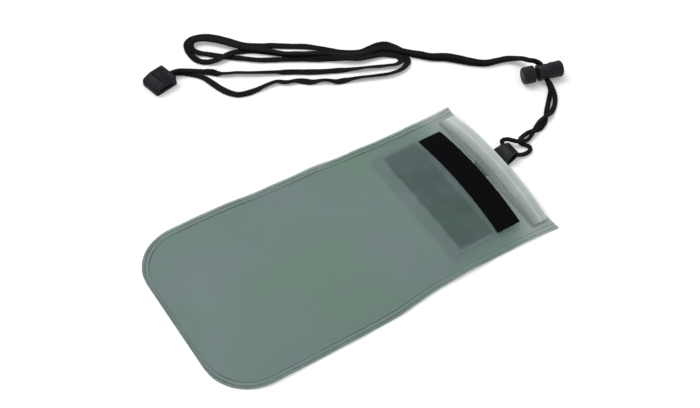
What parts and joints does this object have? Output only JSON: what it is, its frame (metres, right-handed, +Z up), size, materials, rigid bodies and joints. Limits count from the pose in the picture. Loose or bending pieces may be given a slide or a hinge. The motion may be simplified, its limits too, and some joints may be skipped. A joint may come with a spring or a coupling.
{
  "type": "waterproof phone pouch",
  "caption": "Waterproof phone pouch of welded clear film with a press seal, a roll-over hook and loop closure, a hanging tab and a neck cord with cord lock and end clip",
  "frame": {"origin": "under the middle of the pouch and its tab seen from above, on the surface the pouch lies on", "axes": "+Z up out of the front film, +Y from the closed bottom to the mouth, +X across the pouch"},
  "size_m": [0.2371, 0.2729, 0.0112],
  "materials": {
    "front_film": "smoked clear soft film, satin",
    "rear_film": "smoked clear soft film, satin",
    "seal_ribs": "milky soft plastic with two ribs",
    "seal_grooves": "milky soft plastic with three lips",
    "hook_strip": "black hook tape",
    "loop_patch": "black loop pile on a backing sheet",
    "hanging_tab": "black vinyl strip",
    "lanyard_a": "black flat braid",
    "lanyard_b": "black flat braid",
    "lock_barrel": "black moulded plastic",
    "lock_plunger": "black moulded plastic",
    "lock_spring": "drawn wire",
    "clip_base": "black moulded plastic",
    "clip_cover": "black moulded plastic with a ribbed grip"
  },
  "bodies": {
    "pouch": {"front_film": "front_film", "rear_film": "rear_film", "seal_ribs": "seal_ribs", "seal_grooves": "seal_grooves", "hook_strip": "hook_strip", "loop_patch": "loop_patch", "hanging_tab": "hanging_tab", "lanyard_a": "lanyard_a", "lanyard_b": "lanyard_b", "lock_barrel": "lock_barrel", "clip_base": "clip_base", "clip_cover": "clip_cover", "lock_spring": "lock_spring"},
    "plunger": {"lock_plunger": "lock_plunger"}
  },
  "joints": [
    {"name": "plunger_slide", "type": "slide", "parent": "pouch", "child": "plunger", "axis": [0.2706, 0.9627, 0], "range_m": [0, 0.002], "stiffness_N_per_m": 400, "springref_m": -0.004, "deforming": ["lock_spring"]}
  ]
}
